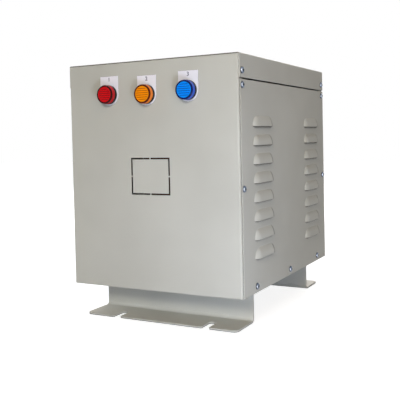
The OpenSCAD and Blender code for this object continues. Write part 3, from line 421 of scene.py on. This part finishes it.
text_size, inlay_depth, bolder_by, below_plate_top = 8.5 * MM, 0.05 * MM, 0.12 * MM, 5.2 * MM
for i in (1, 2, 3):
    low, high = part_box(f"legend_plate_{i}")
    text = bpy.data.curves.new(f"number_{i}_text", "FONT")
    text.body = str(i)
    text.size = text_size
    text.align_x, text.align_y = "CENTER", "CENTER"
    text.extrude, text.offset = inlay_depth, bolder_by
    lettering = bpy.data.objects.new(f"number_{i}_curve", text)
    bpy.context.scene.collection.objects.link(lettering)
    bpy.context.view_layer.update()
    outlined = lettering.evaluated_get(bpy.context.evaluated_depsgraph_get())
    mesh = bpy.data.meshes.new_from_object(outlined)
    bpy.data.objects.remove(lettering)
    upright = Matrix.Rotation(math.pi / 2, 4, "X")
    middle = ((low.x + high.x) / 2, low.y, high.z - below_plate_top)
    mesh.transform(Matrix.Translation(middle) @ upright)
    mesh.materials.clear()
    mesh.materials.append(inlay)
    number = bpy.data.objects.new(f"legend_number_{i}", mesh)
    bpy.context.scene.collection.objects.link(number)
    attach(number, "root")


# Lenses: polycarbonate caps, injection moulded and snapped on the lamp bodies. The face is thin and
# bright with straight diffuser ribs, and the thick rim round it is painted much darker, as painted
# shade.
def turned_piece(name, profile, materials, bands, centre, steps=96):
    """A piece turned about an axis along Y. The profile is (radius, distance in front of centre),
    and a band number for each stretch of the profile picks its material."""
    mesh = bpy.data.meshes.new(name)
    form = bmesh.new()
    rings = []
    for radius, ahead in profile:
        if radius == 0:
            rings.append([form.verts.new((centre.x, centre.y - ahead, centre.z))])
        else:
            rings.append([form.verts.new((centre.x + radius * math.cos(a), centre.y - ahead,
                                          centre.z + radius * math.sin(a)))
                          for a in (2 * math.pi * k / steps for k in range(steps))])
    for stretch, (first, second) in enumerate(zip(rings, rings[1:])):
        for k in range(steps):
            corners = [first[k % len(first)], first[(k + 1) % len(first)],
                       second[(k + 1) % len(second)], second[k % len(second)]]
            # A stretch that ends in the middle point has triangles, so the point counts once
            face = form.faces.new(list(dict.fromkeys(corners)))
            face.material_index = bands[stretch]
            face.smooth = True
    bmesh.ops.recalc_face_normals(form, faces=form.faces)
    form.to_mesh(mesh)
    form.free()
    mesh.set_sharp_from_angle(angle=math.radians(32))
    for material in materials:
        mesh.materials.append(material)
    piece = bpy.data.objects.new(name, mesh)
    bpy.context.scene.collection.objects.link(piece)
    return piece


# The bands of a lens, the ribs on its face, and how far the face lies behind the rim
FACE, RIM, SIDE = 0, 1, 2
rib_count, rib_pitch, rib_width, rib_depth = 6, 3.2 * MM, 1.2 * MM, 0.5 * MM
face_sunk = 0.55 * MM
# Each lamp colour has four tints, for the face, the rim, the side and the ribs. They are lit and
# shaded tints of one plastic: the rim is painted dark, and the ribs are painted darker than the
# face for the shade on their sides
lens_lit_and_shaded_tints = {1: ("red", "#d80814", "#380106", "#c01c26", "#960810"),
              2: ("amber", "#fa9600", "#5c1e00", "#f0842c", "#c06000"),
              3: ("blue", "#0492ff", "#001054", "#385cc8", "#0058c0")}
for i, (shade, *tints) in lens_lit_and_shaded_tints.items():
    low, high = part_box(f"lamp_lens_{i}")
    centre = Vector(((low.x + high.x) / 2, high.y, (low.z + high.z) / 2))
    radius, depth = (high.x - low.x) / 2, high.y - low.y
    plastics = []
    for area, tint, gloss in zip(("face", "rim", "side", "ribs"), tints, (0.3, 0.12, 0.15, 0.3)):
        plastic, tree = new_material(f"moulded_{shade}_polycarbonate_{area}")
        place = add(tree, "ShaderNodeTexCoord")
        # The melt's flow leaves the plastic a little deeper in tone over about 4 mm
        flow = add(tree, "ShaderNodeTexNoise", {("Scale",): 1 / (4 * MM), ("Detail",): 1.0},
                   {"Vector": place.outputs["Object"]})
        depth_of_tone = add(tree, "ShaderNodeMapRange", {("To Min",): 0.9, ("To Max",): 1.08},
                            {"Value": flow.outputs["Fac"]})
        tone = add(tree, "ShaderNodeHueSaturation", {("Color",): srgb(tint)},
                   {"Value": depth_of_tone.outputs["Result"]})
        polycarbonate = add(tree, "ShaderNodeBsdfPrincipled",
                            {("Roughness",): gloss, ("IOR",): 1.58, ("Specular IOR Level",): 0.1},
                            {"Base Color": tone.outputs["Color"]})
        set_surface(tree, polycarbonate)
        plastics.append(plastic)
    # From the back forward over the side, the rounded rim and the sunk face to the middle
    inner = radius - 2.4 * MM
    profile = [(radius - 1.6 * MM, 0), (radius, 0), (radius, depth - 2.6 * MM),
               (radius - 0.25 * MM, depth - 2.3 * MM), (radius - 0.25 * MM, depth - 1.2 * MM),
               (radius - 0.55 * MM, depth - 0.4 * MM), (radius - 1.1 * MM, depth),
               (inner, depth), (inner - 0.4 * MM, depth - 0.7 * MM), (0, depth - face_sunk)]
    bands = [SIDE] * 3 + [RIM] * 5 + [FACE]
    lens = turned_piece(f"lens_{i}", profile, plastics[:3], bands, centre)
    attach(lens, "root")
    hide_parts(f"lamp_lens_{i}")
    # The diffuser ribs cross the face from rim to rim
    ribs = bmesh.new()
    reach = inner - 1.6 * MM
    for row in range(rib_count):
        z = (row - (rib_count - 1) / 2) * rib_pitch
        half = math.sqrt(reach ** 2 - z ** 2)
        made = bmesh.ops.create_cube(ribs, size=1.0)["verts"]
        bmesh.ops.scale(ribs, vec=(2 * half, rib_depth, rib_width), verts=made)
        bmesh.ops.translate(ribs, vec=(centre.x, centre.y - depth + face_sunk, centre.z + z),
                            verts=made)
    bmesh.ops.bevel(ribs, geom=ribs.edges[:], offset=0.2 * MM, segments=2, affect="EDGES",
                    profile=0.5)
    mesh = bpy.data.meshes.new(f"lens_ribs_{i}")
    ribs.to_mesh(mesh)
    ribs.free()
    mesh.materials.append(plastics[3])
    rib_piece = bpy.data.objects.new(f"lens_ribs_{i}", mesh)
    bpy.context.scene.collection.objects.link(rib_piece)
    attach(rib_piece, "root")


# Studio: a plain white floor that keeps the soft shadow of the feet, in a white surround. The key
# softbox stands high in front, and a small one low before the front corner. Two weak ones stand on
# the right, and one each lights the top, the left and the rear.
def background_rays(tree):
    """One for a ray from the camera, a glossy or a clear piece, and nought for any other."""
    rays = add(tree, "ShaderNodeLightPath")
    straight = add(tree, "ShaderNodeMath", {"operation": "MAXIMUM"},
                   {0: rays.outputs["Is Camera Ray"], 1: rays.outputs["Is Glossy Ray"]})
    seen = add(tree, "ShaderNodeMath", {"operation": "MAXIMUM"},
               {0: straight.outputs[0], 1: rays.outputs["Is Transmission Ray"]})
    return seen.outputs[0]


floor_material, tree = new_material("white_studio_floor")
seen = background_rays(tree)
# The glow is weaker near the feet, so that their shadow shows, and full from 1.3 m outward
place = add(tree, "ShaderNodeTexCoord")
distance = add(tree, "ShaderNodeVectorMath", {"operation": "LENGTH"}, {0: place.outputs["Object"]})
fade = add(tree, "ShaderNodeMapRange",
           {("From Min",): 0.3, ("From Max",): 1.3, ("To Min",): 0.84, ("To Max",): 1.0},
           {"Value": distance.outputs["Value"]})
glow_level = add(tree, "ShaderNodeMath", {"operation": "MULTIPLY"},
                 {0: seen, 1: fade.outputs["Result"]})
paper = add(tree, "ShaderNodeBsdfDiffuse", {("Color",): srgb("#b4b4b4")})
glow = add(tree, "ShaderNodeEmission", {}, {"Strength": glow_level.outputs[0]})
both = add(tree, "ShaderNodeAddShader", {}, {0: paper.outputs[0], 1: glow.outputs[0]})
set_surface(tree, both)
# The floor reaches 6 m out from the part, just under its feet
far, level = 6, -0.3 * MM
floor_mesh = bpy.data.meshes.new("studio_floor")
floor_mesh.from_pydata([(-far, -far, level), (far, -far, level), (far, far, level),
                        (-far, far, level)], [], [(0, 1, 2, 3)])
floor_mesh.materials.append(floor_material)
floor = bpy.data.objects.new("studio_floor", floor_mesh)
bpy.context.scene.collection.objects.link(floor)

world = bpy.data.worlds.new("studio_surround")
bpy.context.scene.world = world
world.use_nodes = True
tree = world.node_tree
tree.nodes.clear()
seen = background_rays(tree)
ambient = add(tree, "ShaderNodeBackground", {("Color",): srgb("#f4f8ff"), ("Strength",): 0.04})
white = add(tree, "ShaderNodeBackground",
            {("Color",): (1.0, 1.0, 1.0, 1.0), ("Strength",): 1.0})
surround = add(tree, "ShaderNodeMixShader", {},
               {0: seen, 1: ambient.outputs[0], 2: white.outputs[0]})
add(tree, "ShaderNodeOutputWorld", links={"Surface": surround.outputs[0]})

# Name, place, aim, size in metres, power in watts and colour
for name, stand, aim, size, power, tint in (
        ("key_softbox", (0.6, -2.35, 1.15), (0, 0, 0.25), 0.4, 25.1, "#fffdf5"),
        ("corner_softbox", (0.46, -0.60, 0.04), (0.13, -0.15, 0.03), 0.22, 3.0, "#dde8ff"),
        ("right_softbox", (1.8, -1.0, 0.7), (0.1, 0.0, 0.2), 0.9, 3.5, "#fffcee"),
        ("upper_softbox", (1.1, -1.1, 1.3), (0.1, 0.0, 0.3), 0.7, 3.0, "#ffcc98"),
        ("top_softbox", (0, 0.15, 2.1), (0, 0.05, 0.4), 1.0, 13.0, "#e9f0ff"),
        ("left_softbox", (-2.3, 0.4, 1.0), (0, 0.1, 0.2), 1.4, 26.0, "#fbfaff"),
        ("rear_softbox", (-0.75, 2.4, 1.1), (-0.1, 0, 0.2), 1.1, 40.0, "#fffaf5")):
    lamp = bpy.data.lights.new(name, "AREA")
    lamp.size, lamp.energy = size, power
    lamp.color = srgb(tint)[:3]
    light = bpy.data.objects.new(name, lamp)
    light.location = stand
    light.rotation_euler = (Vector(aim) - Vector(stand)).to_track_quat("-Z", "Y").to_euler()
    bpy.context.scene.collection.objects.link(light)


# Camera: found from the box's corners in the photograph, which is 400 pixels wide and high. The
# focal length and the point straight ahead are in its pixels, and the eye's place is in metres.
photo_width, focal_length, ahead_x, ahead_y = 400, 670.53, 194.96, 159.22
eye = (0.54106, -1.04282, 0.2825)
right = Vector((0.87994, 0.47455, -0.0226))
down = Vector((-0.00487, -0.03857, -0.99924))
forward = Vector((-0.47506, 0.87938, -0.03163))
view = bpy.data.cameras.new("photograph_view")
view.sensor_width = 36.0
view.lens = focal_length / photo_width * 36.0
view.shift_x = (photo_width / 2 - ahead_x) / photo_width
view.shift_y = (ahead_y - photo_width / 2) / photo_width
view.clip_start, view.clip_end = 0.01, 50.0
camera = bpy.data.objects.new("photograph_view", view)
turn = Matrix((right, -down, -forward)).transposed().to_4x4()
camera.matrix_world = Matrix.Translation(eye) @ turn
bpy.context.scene.collection.objects.link(camera)
bpy.context.scene.camera = camera
bpy.context.scene.view_settings.view_transform = "Standard"
